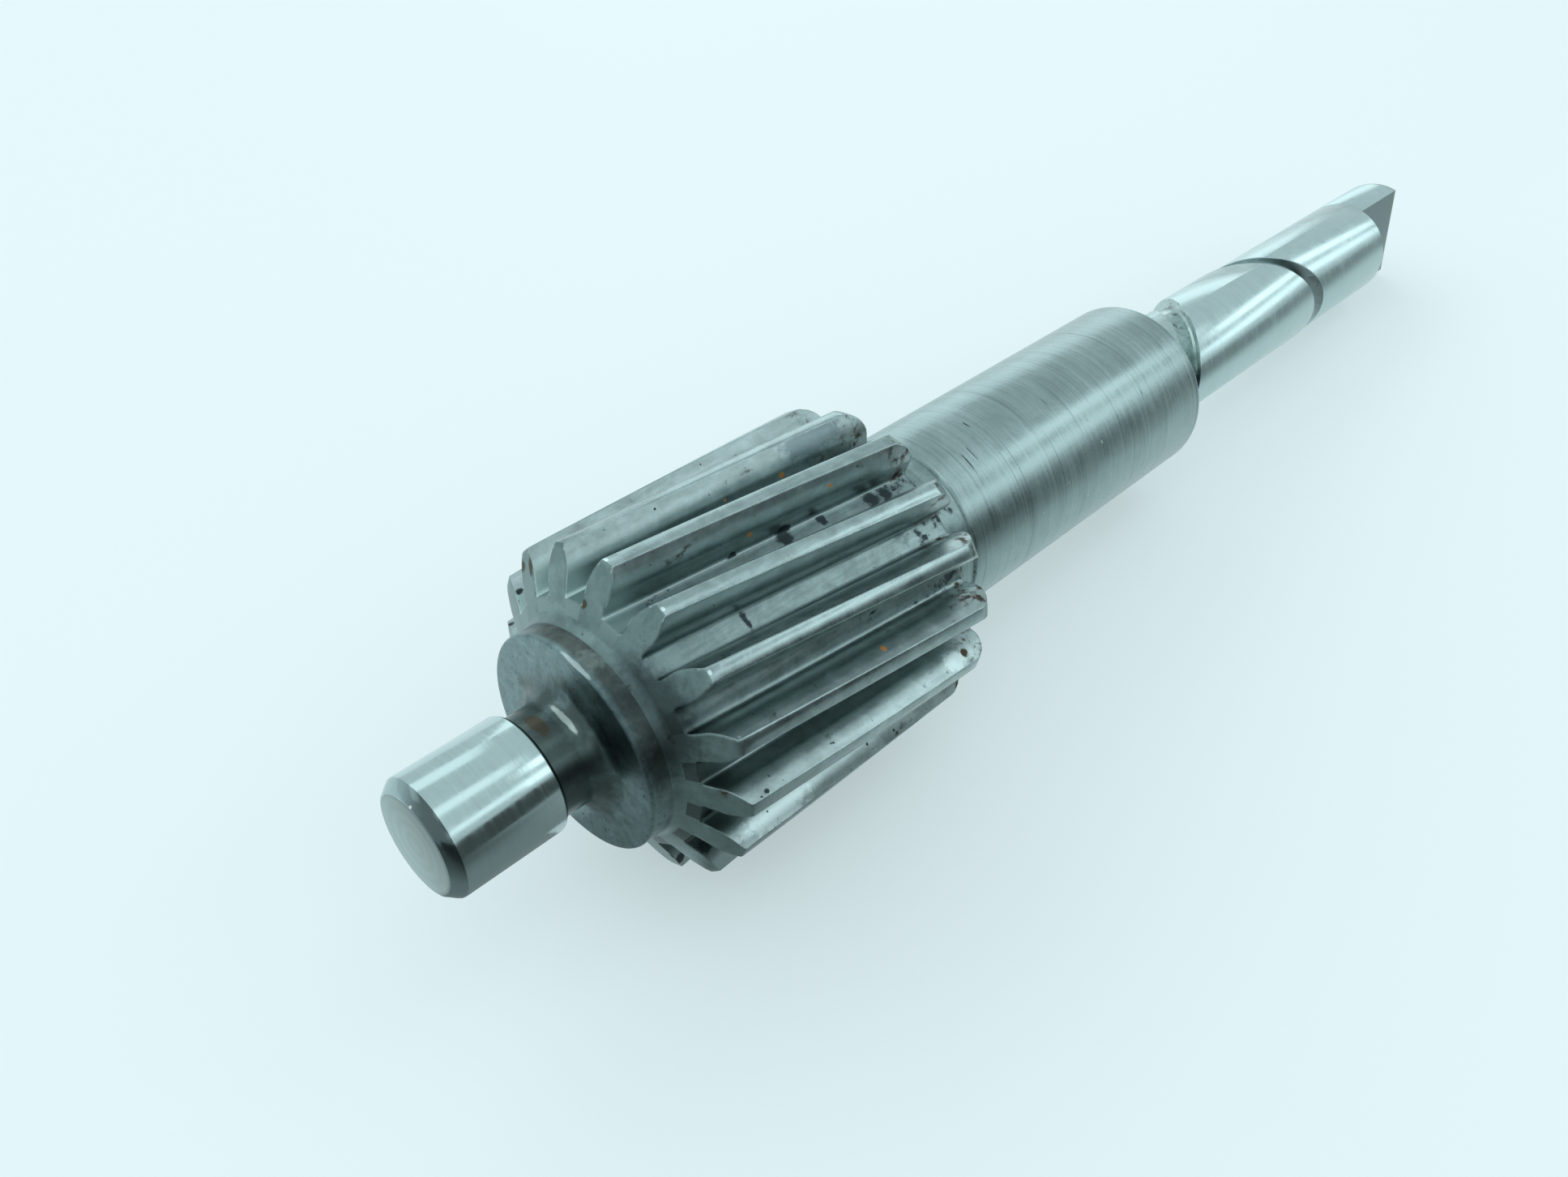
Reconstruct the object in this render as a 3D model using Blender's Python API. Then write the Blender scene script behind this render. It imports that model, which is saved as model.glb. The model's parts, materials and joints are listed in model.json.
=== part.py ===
"""Speedometer drive gear: pilot, hub, helical pinion, journal and drive tail, cut from one steel bar.

The shaft lies along +X with its pilot at -X. It rests on the rear corners of two teeth and on the
end of its drive tongue, so the axis dips a little towards the tail. Angles round the shaft are
clocks: 0 is up, and they grow by the right-hand rule about +X.
"""
import math

import bmesh
import bpy
from mathutils import Matrix, Vector

MM = 0.001

# Helical teeth. The sizes are those of the cutter, square to the tooth.
TOOTH_COUNT = 16
TOOTH_MODULE = 1.0 * MM
PRESSURE_ANGLE = math.radians(14.5)
HELIX_ANGLE = math.radians(6.1)
ADDENDUM = 1.05 * MM
DEDENDUM = 1.25 * MM
BACKLASH = 0.05 * MM
ROOT_FILLET = 0.22 * MM

# Toothed length
TOOTH_LAND_LENGTH = 16.64 * MM
TOOTH_FRONT_TAPER = 1.02 * MM
TOOTH_REAR_ROUND = 1.30 * MM

# Pilot at the front end, and the neck that runs out its grinding wheel
PILOT_DIAMETER = 6.20 * MM
PILOT_LENGTH = 6.04 * MM
PILOT_CHAMFER_LENGTH = 0.56 * MM
PILOT_CHAMFER_DEPTH = 0.46 * MM
PILOT_BACK_BEVEL = 0.15 * MM
FRONT_NECK_DIAMETER = 5.40 * MM
FRONT_NECK_LENGTH = 2.56 * MM
FRONT_NECK_FILLET = 1.10 * MM

# Hub between the neck and the teeth
HUB_DIAMETER = 11.60 * MM
HUB_LENGTH = 2.04 * MM
HUB_EDGE_ROUND = 0.15 * MM
HUB_COVE_RADIUS = 0.60 * MM

# Relief groove behind the teeth, then the journal
RELIEF_DIAMETER = 10.90 * MM
RELIEF_LENGTH = 2.90 * MM
RELIEF_COVE_RADIUS = 0.90 * MM
JOURNAL_DIAMETER = 11.22 * MM
JOURNAL_LENGTH = 23.30 * MM
JOURNAL_EDGE_BEVEL = 0.20 * MM

# Drive tail. Its shoulder, with an undercut in front of it, and its groove are both cut aslant,
# leaning opposite ways.
TAIL_DIAMETER = 7.44 * MM
TAIL_NECK_DIAMETER = 6.90 * MM
TAIL_UNDERCUT_DIAMETER = 6.30 * MM
TAIL_UNDERCUT_LENGTH = 1.70 * MM
TAIL_SHOULDER_DISTANCE = 6.05 * MM
TAIL_SHOULDER_LEAN = math.radians(37.2)
GROOVE_DISTANCE = 17.00 * MM
GROOVE_WIDTH = 1.20 * MM
GROOVE_DEPTH = 0.90 * MM
GROOVE_SHALLOW_DEPTH = 0.10 * MM
GROOVE_LEAN = math.radians(43.0)
SLANT_CLOCK = math.radians(90.0)
TAIL_END_DIAMETER = 7.20 * MM
TAIL_LENGTH = 31.30 * MM
TONGUE_LENGTH = 6.00 * MM
TONGUE_FLAT_OFFSET = 1.38 * MM
TONGUE_FLAT_CLOCK = math.radians(82.5)

# Fineness of the faceted surfaces
ROUND_SIDES = 64
FLANK_POINTS = 5
ARC_STEPS = 4
TWIST_STEPS = 4
CUT_MARGIN = 0.6 * MM

# Sizes of the teeth that follow from the ones above
PITCH_RADIUS = TOOTH_COUNT * TOOTH_MODULE / (2 * math.cos(HELIX_ANGLE))
TIP_RADIUS = PITCH_RADIUS + ADDENDUM
ROOT_RADIUS = PITCH_RADIUS - DEDENDUM
TURN_PER_METRE = math.tan(HELIX_ANGLE) / PITCH_RADIUS
TRANSVERSE_ANGLE = math.atan(math.tan(PRESSURE_ANGLE) / math.cos(HELIX_ANGLE))
BASE_RADIUS = PITCH_RADIUS * math.cos(TRANSVERSE_ANGLE)
TOOTH_STEP = 2 * math.pi / TOOTH_COUNT

# Places along the shaft, from the pilot's end face
NECK_START = PILOT_LENGTH
HUB_FACE = NECK_START + FRONT_NECK_LENGTH
GAP_START = HUB_FACE + HUB_LENGTH
LAND_START = GAP_START + TOOTH_FRONT_TAPER
LAND_END = LAND_START + TOOTH_LAND_LENGTH
TEETH_END = LAND_END + TOOTH_REAR_ROUND
JOURNAL_START = TEETH_END + RELIEF_LENGTH
JOURNAL_END = JOURNAL_START + JOURNAL_LENGTH
SHOULDER = JOURNAL_END + TAIL_SHOULDER_DISTANCE
GROOVE = JOURNAL_END + GROOVE_DISTANCE
TONGUE_START = JOURNAL_END + TAIL_LENGTH
TONGUE_END = TONGUE_START + TONGUE_LENGTH


def clear_scene():
    for item in list(bpy.data.objects):
        bpy.data.objects.remove(item, do_unlink=True)


def steel():
    material = bpy.data.materials.new("turned_steel")
    material.use_nodes = True
    shader = material.node_tree.nodes["Principled BSDF"]
    shader.inputs["Base Color"].default_value = (0.33, 0.36, 0.36, 1.0)
    shader.inputs["Metallic"].default_value = 1.0
    shader.inputs["Roughness"].default_value = 0.38
    return material


def round_point(x, radius, clock):
    """A point at this distance along the shaft and this clock round it."""
    return Vector((x, -radius * math.sin(clock), radius * math.cos(clock)))


def arc(centre_x, centre_r, radius, start, end, steps=ARC_STEPS):
    """Points (x, r) of a profile arc. Angles run from +x towards +r."""
    points = []
    for step in range(steps + 1):
        angle = start + (end - start) * step / steps
        points.append((centre_x + radius * math.cos(angle), centre_r + radius * math.sin(angle)))
    return points


def object_from_bmesh(name, mesh_data):
    bmesh.ops.recalc_face_normals(mesh_data, faces=mesh_data.faces)
    mesh = bpy.data.meshes.new(name)
    mesh_data.to_mesh(mesh)
    mesh_data.free()
    item = bpy.data.objects.new(name, mesh)
    bpy.context.scene.collection.objects.link(item)
    return item


def loft(name, rings):
    """Closed solid through rings of points that all have the same count, with flat ends."""
    shape = bmesh.new()
    loops = [[shape.verts.new(point) for point in ring] for ring in rings]
    for near, far in zip(loops, loops[1:]):
        for i in range(len(near)):
            j = (i + 1) % len(near)
            shape.faces.new((near[i], near[j], far[j], far[i]))
    shape.faces.new(reversed(loops[0]))
    shape.faces.new(loops[-1])
    return object_from_bmesh(name, shape)


def turned_solid(name, profile):
    """Solid turned about the shaft's axis from profile points (x, r)."""
    clocks = [2 * math.pi * i / ROUND_SIDES for i in range(ROUND_SIDES)]
    return loft(name, [[round_point(x, r, clock) for clock in clocks] for x, r in profile])


def hub_cove():
    """Fillet between the hub's side and the cone that the tooth fronts lie on."""
    cone_angle = math.atan2(TIP_RADIUS - ROOT_RADIUS, TOOTH_FRONT_TAPER)
    centre_r = HUB_DIAMETER / 2 + HUB_COVE_RADIUS
    reach = (centre_r - ROOT_RADIUS) / math.tan(cone_angle) - HUB_COVE_RADIUS / math.sin(cone_angle)
    return arc(GAP_START + reach, centre_r, HUB_COVE_RADIUS, -math.pi / 2, cone_angle - math.pi / 2)


def shaft_profile():
    """Outline of the turned blank, from the pilot's end face to the drive tongue."""
    pilot = PILOT_DIAMETER / 2
    neck = FRONT_NECK_DIAMETER / 2
    hub = HUB_DIAMETER / 2
    relief = RELIEF_DIAMETER / 2
    journal = JOURNAL_DIAMETER / 2
    core = TAIL_UNDERCUT_DIAMETER / 2
    points = [(0, pilot - PILOT_CHAMFER_DEPTH), (PILOT_CHAMFER_LENGTH, pilot)]
    points += [(NECK_START - PILOT_BACK_BEVEL, pilot), (NECK_START, pilot - PILOT_BACK_BEVEL)]
    points += [(NECK_START, neck)]
    points += arc(HUB_FACE - FRONT_NECK_FILLET, neck + FRONT_NECK_FILLET, FRONT_NECK_FILLET,
                  -math.pi / 2, 0)
    points += arc(HUB_FACE + HUB_EDGE_ROUND, hub - HUB_EDGE_ROUND, HUB_EDGE_ROUND,
                  math.pi, math.pi / 2)
    points += hub_cove()
    points += [(LAND_START, TIP_RADIUS)]
    points += arc(LAND_END, TIP_RADIUS - TOOTH_REAR_ROUND, TOOTH_REAR_ROUND, math.pi / 2, 0)
    points += arc(TEETH_END + RELIEF_COVE_RADIUS, relief + RELIEF_COVE_RADIUS, RELIEF_COVE_RADIUS,
                  math.pi, 3 * math.pi / 2)
    step = journal - relief
    points += [(JOURNAL_START - step, relief), (JOURNAL_START, journal)]
    points += [(JOURNAL_END - JOURNAL_EDGE_BEVEL, journal), (JOURNAL_END, journal - JOURNAL_EDGE_BEVEL)]
    points += [(JOURNAL_END, core), (TONGUE_END - CUT_MARGIN, core)]
    return points


def involute(angle):
    return math.tan(angle) - angle


def gap_half_angle(radius):
    """Half the angle that the gap between two teeth spans at this radius."""
    pitch_half = TOOTH_STEP / 4 + BACKLASH / (2 * PITCH_RADIUS)
    roll = math.acos(min(1.0, BASE_RADIUS / radius))
    return pitch_half - involute(TRANSVERSE_ANGLE) + involute(roll)


def gap_outline():
    """One side of a tooth gap as (radius, half angle), from outside the tip down to the floor."""
    side = []
    for step in range(FLANK_POINTS + 1):
        radius = TIP_RADIUS + CUT_MARGIN + (BASE_RADIUS - TIP_RADIUS - CUT_MARGIN) * step / FLANK_POINTS
        side.append((radius, gap_half_angle(radius)))
    foot = gap_half_angle(BASE_RADIUS)
    centre_radius = ROOT_RADIUS + ROOT_FILLET
    centre_angle = foot - math.asin(ROOT_FILLET / centre_radius)
    for step in range(ARC_STEPS):
        turn = math.pi / 2 + centre_angle + (math.pi / 2) * step / (ARC_STEPS - 1)
        along = centre_radius * math.cos(centre_angle) + ROOT_FILLET * math.cos(turn)
        across = centre_radius * math.sin(centre_angle) + ROOT_FILLET * math.sin(turn)
        side.append((math.hypot(along, across), math.atan2(across, along)))
    return side


def gap_cutters():
    """Sixteen twisted cutters, one for each gap. A gap faces the floor where the lands end."""
    side = gap_outline()
    section = [(r, angle) for r, angle in side] + [(r, -angle) for r, angle in reversed(side)]
    start = GAP_START - CUT_MARGIN
    end = TEETH_END + CUT_MARGIN
    shape = bmesh.new()
    for gap in range(TOOTH_COUNT):
        rings = []
        for step in range(TWIST_STEPS + 1):
            x = start + (end - start) * step / TWIST_STEPS
            clock = math.pi + gap * TOOTH_STEP + (x - LAND_END) * TURN_PER_METRE
            rings.append([shape.verts.new(round_point(x, r, clock + angle)) for r, angle in section])
        for near, far in zip(rings, rings[1:]):
            for i in range(len(section)):
                j = (i + 1) % len(section)
                shape.faces.new((near[i], near[j], far[j], far[i]))
        shape.faces.new(reversed(rings[0]))
        shape.faces.new(rings[-1])
    bmesh.ops.triangulate(shape, faces=[face for face in shape.faces if len(face.verts) == 4])
    return object_from_bmesh("gap_cutters", shape)


def slant_x(middle, lean, point):
    """Where a plane that crosses the axis at middle and leans along SLANT_CLOCK meets this point."""
    toward_slant = round_point(0, 1, SLANT_CLOCK)
    return middle + math.tan(lean) * point.dot(toward_slant)


def slant_cylinder(name, radius, start, start_lean, end, end_lean, centre=Vector((0, 0, 0))):
    """Cylinder along the shaft whose two ends are cut aslant."""
    rings = []
    for middle, lean in ((start, start_lean), (end, end_lean)):
        ring = []
        for i in range(ROUND_SIDES):
            point = round_point(0, radius, 2 * math.pi * i / ROUND_SIDES) + centre
            point.x = slant_x(middle, lean, point)
            ring.append(point)
        rings.append(ring)
    return loft(name, rings)


def box(name, low, high):
    corners = [(low[1], low[2]), (high[1], low[2]), (high[1], high[2]), (low[1], high[2])]
    return loft(name, [[Vector((x, y, z)) for y, z in corners] for x in (low[0], high[0])])


def combine(target, tool, operation):
    """Boolean the tool into the target with the exact solver, and delete the tool."""
    modifier = target.modifiers.new(tool.name, "BOOLEAN")
    modifier.operation = operation
    modifier.solver = "EXACT"
    modifier.object = tool
    graph = bpy.context.evaluated_depsgraph_get()
    mesh = bpy.data.meshes.new_from_object(target.evaluated_get(graph))
    target.modifiers.remove(modifier)
    target.data = mesh
    bpy.data.objects.remove(tool, do_unlink=True)


def add_tail(shaft):
    """Neck up to the undercut, and the tail behind the shoulder, a little thinner past the groove."""
    groove_slant = GROOVE_WIDTH / math.cos(GROOVE_LEAN)
    combine(shaft, slant_cylinder("tail_neck", TAIL_NECK_DIAMETER / 2, JOURNAL_END - CUT_MARGIN, 0.0,
                                  SHOULDER - TAIL_UNDERCUT_LENGTH, -TAIL_SHOULDER_LEAN), "UNION")
    combine(shaft, slant_cylinder("tail", TAIL_DIAMETER / 2, SHOULDER, -TAIL_SHOULDER_LEAN,
                                  GROOVE, GROOVE_LEAN), "UNION")
    combine(shaft, slant_cylinder("tail_end", TAIL_END_DIAMETER / 2, GROOVE - groove_slant / 4,
                                  GROOVE_LEAN, TONGUE_END, 0.0), "UNION")


def cut_groove(shaft):
    """Narrow slanting groove whose bottom is off centre, so it is deepest where it reaches the rear."""
    half_width = GROOVE_WIDTH / math.cos(GROOVE_LEAN) / 2
    tail = TAIL_DIAMETER / 2
    bottom_radius = tail - (GROOVE_DEPTH + GROOVE_SHALLOW_DEPTH) / 2
    away = round_point(0, (GROOVE_DEPTH - GROOVE_SHALLOW_DEPTH) / 2, SLANT_CLOCK + math.pi)
    ring = slant_cylinder("groove_ring", tail + CUT_MARGIN, GROOVE - half_width, GROOVE_LEAN,
                          GROOVE + half_width, GROOVE_LEAN)
    bottom = slant_cylinder("groove_bottom", bottom_radius, GROOVE - 2 * half_width, GROOVE_LEAN,
                            GROOVE + 2 * half_width, GROOVE_LEAN, away)
    combine(ring, bottom, "DIFFERENCE")
    combine(shaft, ring, "DIFFERENCE")


def cut_tongue(shaft):
    """Half-moon tongue that the cable's socket turns with."""
    wide = TAIL_DIAMETER
    cutter = box("tongue_cutter", (TONGUE_START, -wide, TONGUE_FLAT_OFFSET),
                 (TONGUE_END + CUT_MARGIN, wide, wide))
    cutter.data.transform(Matrix.Rotation(TONGUE_FLAT_CLOCK, 4, "X"))
    combine(shaft, cutter, "DIFFERENCE")


def lay_down(shaft):
    """Tilt the shaft onto its two rear tooth corners and its tongue, centred over the origin."""
    tooth_drop = TIP_RADIUS * math.cos(gap_half_angle(TIP_RADIUS))
    tongue_drop = TAIL_END_DIAMETER / 2
    tilt = math.atan2(tooth_drop - tongue_drop, TONGUE_END - LAND_END)
    shaft.rotation_euler = (0, tilt, 0)
    turn = Matrix.Rotation(tilt, 4, "Y")
    corners = [turn @ vertex.co for vertex in shaft.data.vertices]
    low = Vector([min(corner[axis] for corner in corners) for axis in range(3)])
    high = Vector([max(corner[axis] for corner in corners) for axis in range(3)])
    shaft.location = (-(low.x + high.x) / 2, -(low.y + high.y) / 2, -low.z)


def build_pinion():
    shaft = turned_solid("speedometer_pinion", shaft_profile())
    combine(shaft, gap_cutters(), "DIFFERENCE")
    add_tail(shaft)
    cut_groove(shaft)
    cut_tongue(shaft)
    shaft.data.materials.append(steel())
    shaft.data.shade_smooth()
    shaft.data.set_sharp_from_angle(angle=math.radians(30))
    lay_down(shaft)
    return shaft


clear_scene()
build_pinion()
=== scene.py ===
"""The looks of a speedometer drive gear: one turned and hobbed steel shaft lying on a pale table."""
import json
import math

import bmesh
import bpy
import numpy as np
from mathutils import Matrix, Quaternion, Vector


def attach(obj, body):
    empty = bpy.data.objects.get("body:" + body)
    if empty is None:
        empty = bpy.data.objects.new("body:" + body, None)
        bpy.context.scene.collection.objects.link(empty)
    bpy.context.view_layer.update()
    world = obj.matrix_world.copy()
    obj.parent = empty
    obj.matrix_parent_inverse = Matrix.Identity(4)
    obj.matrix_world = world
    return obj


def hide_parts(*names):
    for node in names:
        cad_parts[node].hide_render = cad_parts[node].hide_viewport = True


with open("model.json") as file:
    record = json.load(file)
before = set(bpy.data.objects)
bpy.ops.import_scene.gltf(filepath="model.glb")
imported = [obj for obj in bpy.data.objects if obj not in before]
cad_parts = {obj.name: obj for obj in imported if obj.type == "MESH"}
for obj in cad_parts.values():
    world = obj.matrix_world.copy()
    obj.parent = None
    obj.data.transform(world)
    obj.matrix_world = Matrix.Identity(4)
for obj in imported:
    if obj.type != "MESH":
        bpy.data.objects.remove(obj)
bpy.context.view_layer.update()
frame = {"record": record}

scene = bpy.context.scene
scene.view_settings.view_transform = "Standard"
MM = 0.001


# Camera. It stands a hand's breadth in front of the pilot and looks down along the shaft,
# so the near end is large and the tail runs away into the top right corner of the picture.
PICTURE_WIDTH = 1935
FOCAL_PIXELS = 1633.5
CAMERA_PLACE = Vector((-58.95, -36.79, 57.96)) * MM
CAMERA_AIM = Vector((-15.43, 8.32, 0.0)) * MM
CAMERA_ROLL = math.radians(-2.70)

camera = bpy.data.objects.new("camera", bpy.data.cameras.new("camera"))
camera.data.sensor_width = 36.0
camera.data.lens = camera.data.sensor_width * FOCAL_PIXELS / PICTURE_WIDTH
camera.data.clip_start = 0.005
camera.data.clip_end = 20.0
camera.location = CAMERA_PLACE
camera.rotation_mode = "QUATERNION"
level = (CAMERA_AIM - CAMERA_PLACE).to_track_quat("-Z", "Y")
camera.rotation_quaternion = level @ Quaternion((0, 0, 1), CAMERA_ROLL)
scene.collection.objects.link(camera)
scene.camera = camera


# Table. It is a plain pale sheet with a touch of blue-green. A share of it glows for the camera and in
# the steel's reflections, so that it stays pale and still takes the shaft's shadow.
TABLE_SIZE = 1.6
TABLE_COLOUR = (0.92, 0.965, 0.975, 1.0)
TABLE_ROUGH = 0.45
TABLE_GLOSS = 0.15
TABLE_WHITE = (0.85, 0.98, 0.99, 1.0)
TABLE_WHITE_SHARE = 0.38


class Nodes:
    """A material's nodes. Each helper adds one node and returns its output, so that a material reads
    from its pattern down to its shader."""

    def __init__(self, material):
        material.use_nodes = True
        self.tree = material.node_tree
        self.tree.nodes.clear()
        self.shader = self.tree.nodes.new("ShaderNodeBsdfPrincipled")
        output = self.tree.nodes.new("ShaderNodeOutputMaterial")
        self.join(self.shader.outputs[0], output.inputs["Surface"])

    def join(self, value, socket):
        if isinstance(value, bpy.types.NodeSocket):
            self.tree.links.new(value, socket)
        else:
            socket.default_value = value

    def node(self, kind, inputs=(), **settings):
        made = self.tree.nodes.new(kind)
        for name, value in settings.items():
            setattr(made, name, value)
        for name, value in dict(inputs).items():
            self.join(value, made.inputs[name])
        return made

    def noise(self, where, detail, rough, bend=0.0):
        return self.node("ShaderNodeTexNoise", {"Vector": where, "Scale": 1.0, "Detail": detail,
                                                "Roughness": rough, "Distortion": bend}).outputs["Fac"]

    def ramp(self, value, low, high, to_low=0.0, to_high=1.0):
        """The value's stretch from low to high, smoothed and spread over to_low to to_high."""
        return self.node("ShaderNodeMapRange", {"Value": value, "From Min": low, "From Max": high,
                                                "To Min": to_low, "To Max": to_high},
                         interpolation_type="SMOOTHSTEP").outputs[0]

    def mix(self, amount, first, second):
        mixer = self.node("ShaderNodeMix", data_type="RGBA")
        self.join(amount, mixer.inputs["Factor"])
        self.join(first, mixer.inputs[6])
        self.join(second, mixer.inputs[7])
        return mixer.outputs[2]

    def math(self, operation, first, second=0.0):
        made = self.tree.nodes.new("ShaderNodeMath")
        made.operation = operation
        self.join(first, made.inputs[0])
        self.join(second, made.inputs[1])
        return made.outputs[0]


table_mesh = bpy.data.meshes.new("table")
half = TABLE_SIZE / 2
table_mesh.from_pydata([(-half, -half, 0), (half, -half, 0), (half, half, 0), (-half, half, 0)], [],
                       [(0, 1, 2, 3)])
table = bpy.data.objects.new("table", table_mesh)
scene.collection.objects.link(table)
table_material = bpy.data.materials.new("pale_table")
paint = Nodes(table_material)
paint.shader.inputs["Base Color"].default_value = TABLE_COLOUR
paint.shader.inputs["Roughness"].default_value = TABLE_ROUGH
paint.shader.inputs["Specular IOR Level"].default_value = TABLE_GLOSS
ray = paint.node("ShaderNodeLightPath").outputs
seen = paint.math("MAXIMUM", paint.math("MAXIMUM", ray["Is Camera Ray"], ray["Is Glossy Ray"]),
                  ray["Is Transmission Ray"])
glow = paint.node("ShaderNodeEmission", {"Color": TABLE_WHITE, "Strength": 1.0}).outputs[0]
share = paint.math("MULTIPLY", seen, TABLE_WHITE_SHARE)
both = paint.node("ShaderNodeMixShader", {0: share, 1: paint.shader.outputs[0], 2: glow}).outputs[0]
paint.join(both, paint.tree.nodes["Material Output"].inputs["Surface"])
table_mesh.materials.append(table_material)


# Lamps. A soft sky lights the shaft from all round. Long soft lamps hang beside and above it, parallel
# to it, so that their streaks run along the whole of the round steel.
WORLD_LEVEL = 0.74
WORLD_COLOUR = (0.80, 0.96, 1.0, 1.0)
LAMP_COLOUR = (0.84, 0.97, 1.0)
world = bpy.data.worlds.new("studio")
world.use_nodes = True
sky = world.node_tree.nodes["Background"].inputs
sky["Color"].default_value = WORLD_COLOUR
sky["Strength"].default_value = WORLD_LEVEL
scene.world = world


def strip_lamp(name, clock, distance, width, start, end, level):
    """Lamp parallel to the shaft, from start to end along it, at this clock round it, facing it."""
    lamp = bpy.data.lights.new(name, "AREA")
    lamp.shape = "RECTANGLE"
    lamp.size = end - start
    lamp.size_y = width
    lamp.energy = level * math.pi * width * (end - start)
    lamp.color = LAMP_COLOUR
    item = bpy.data.objects.new(name, lamp)
    angle = math.radians(clock)
    item.location = ((start + end) / 2, -distance * math.sin(angle), distance * math.cos(angle))
    item.rotation_euler = (angle, 0, 0)
    scene.collection.objects.link(item)
    return item


strip_lamp("lamp_over_gear", 15, 0.60, 0.15, -0.60, 0.42, 0.62)
strip_lamp("lamp_over_tail", 33, 0.60, 0.14, 0.42, 1.40, 1.45)
strip_lamp("lamp_front_gear", 54, 0.60, 0.10, -0.80, 0.37, 0.68)
strip_lamp("lamp_front_tail", 57, 0.60, 0.15, 0.37, 1.40, 1.15)
strip_lamp("lamp_back_gear", -45, 0.70, 0.26, -0.80, 0.36, 0.56)
strip_lamp("lamp_back_tail", -76, 0.80, 0.55, 0.45, 1.80, 0.70)
strip_lamp("table_fill", -56, 0.80, 0.40, -0.80, 0.80, 0.66).visible_glossy = False


# Dim cards. The room is darker behind the camera, so the steel's near side mirrors a dark upright
# shape and the shade at its foot. Only the steel sees the cards. The third stands for the camera.
CARD_COLOUR = (0.80, 0.98, 1.0, 1.0)
CARD_SHADE_FROM = -0.036
CARD_SHADE_TO = -0.009
CARD_START = -0.3
CARD_END = 0.5
CARD_Y = -0.06
FOOT_Y = -0.0045
FOOT_Z = 0.0006


def mirror_card(name, corners, near_level, far_level, near_x=-0.05, far_x=0.03, outer=1.0, inner=1.0):
    """Dim card that only the steel mirrors. Its level changes along the shaft, and inward to it."""
    card_mesh = bpy.data.meshes.new(name)
    card_mesh.from_pydata(corners, [], [tuple(range(len(corners)))])
    material = bpy.data.materials.new(name)
    paint = Nodes(material)
    coords = paint.node("ShaderNodeTexCoord").outputs["Object"]
    where = paint.node("ShaderNodeSeparateXYZ", {0: coords}).outputs
    along_level = paint.ramp(where[0], near_x, far_x, near_level, far_level)
    inward = paint.ramp(where[1], CARD_SHADE_FROM, CARD_SHADE_TO, outer, inner)
    glow = paint.node("ShaderNodeEmission", {"Color": CARD_COLOUR,
                                             "Strength": paint.math("MULTIPLY", along_level, inward)})
    paint.join(glow.outputs[0], paint.tree.nodes["Material Output"].inputs["Surface"])
    card_mesh.materials.append(material)
    card = bpy.data.objects.new(name, card_mesh)
    card.visible_camera = False
    card.visible_diffuse = False
    card.visible_shadow = False
    card.visible_transmission = False
    scene.collection.objects.link(card)


mirror_card("near_upright", [(CARD_START, CARD_Y, 0.0), (CARD_END, CARD_Y, 0.0), (CARD_END, CARD_Y, 0.019),
                             (0.09, CARD_Y, 0.019), (0.05, CARD_Y, 0.024), (0.0, CARD_Y, 0.032),
                             (CARD_START, CARD_Y, 0.032)],
            near_level=0.08, far_level=0.30, near_x=0.005, far_x=0.05)
mirror_card("near_foot", [(CARD_START, CARD_Y, FOOT_Z), (CARD_END, CARD_Y, FOOT_Z),
                          (CARD_END, FOOT_Y, FOOT_Z), (-0.038, FOOT_Y, FOOT_Z),
                          (-0.038, 0.004, FOOT_Z), (CARD_START, 0.004, FOOT_Z)],
            near_level=0.21, far_level=0.62, near_x=-0.040, far_x=-0.010, outer=0.62, inner=1.26)
mirror_card("camera_body", [(-0.10, -0.02, 0.055), (-0.04, -0.09, 0.055), (-0.075, -0.125, 0.10),
                            (-0.135, -0.055, 0.10)], near_level=0.06, far_level=0.06)


# Shaft. It is one bar of steel, turned between centres: pilot, neck, hub, the blank of the teeth, a
# relief groove, the journal and the tail. Each station is a distance from the pilot's end face and a
# radius in mm, and a finish for the surface that runs from it to the next one.
END_FACE, CHAMFER, GROUND, NECK, HUB, FRONT, LAND, FLANK, FLOOR, REAR, RELIEF, JOURNAL, TAIL_NECK, \
    UNDERCUT, SLOT, TONGUE = range(16)
stations = []


def station(x, radius, finish, lean=0.0, aside=0.0, flat=None):
    """One ring of the shaft in mm. lean slants it, aside moves it from the axis, flat cuts it."""
    stations.append((x, radius, finish, lean, aside, flat))


def round_off(centre_x, centre_r, radius, start, end, steps, finish, **more):
    """Stations along an arc of the outline. Angles run from +x towards +r, in degrees."""
    for step in range(steps + 1):
        angle = math.radians(start + (end - start) * step / steps)
        station(centre_x + radius * math.cos(angle), centre_r + radius * math.sin(angle), finish, **more)


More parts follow.
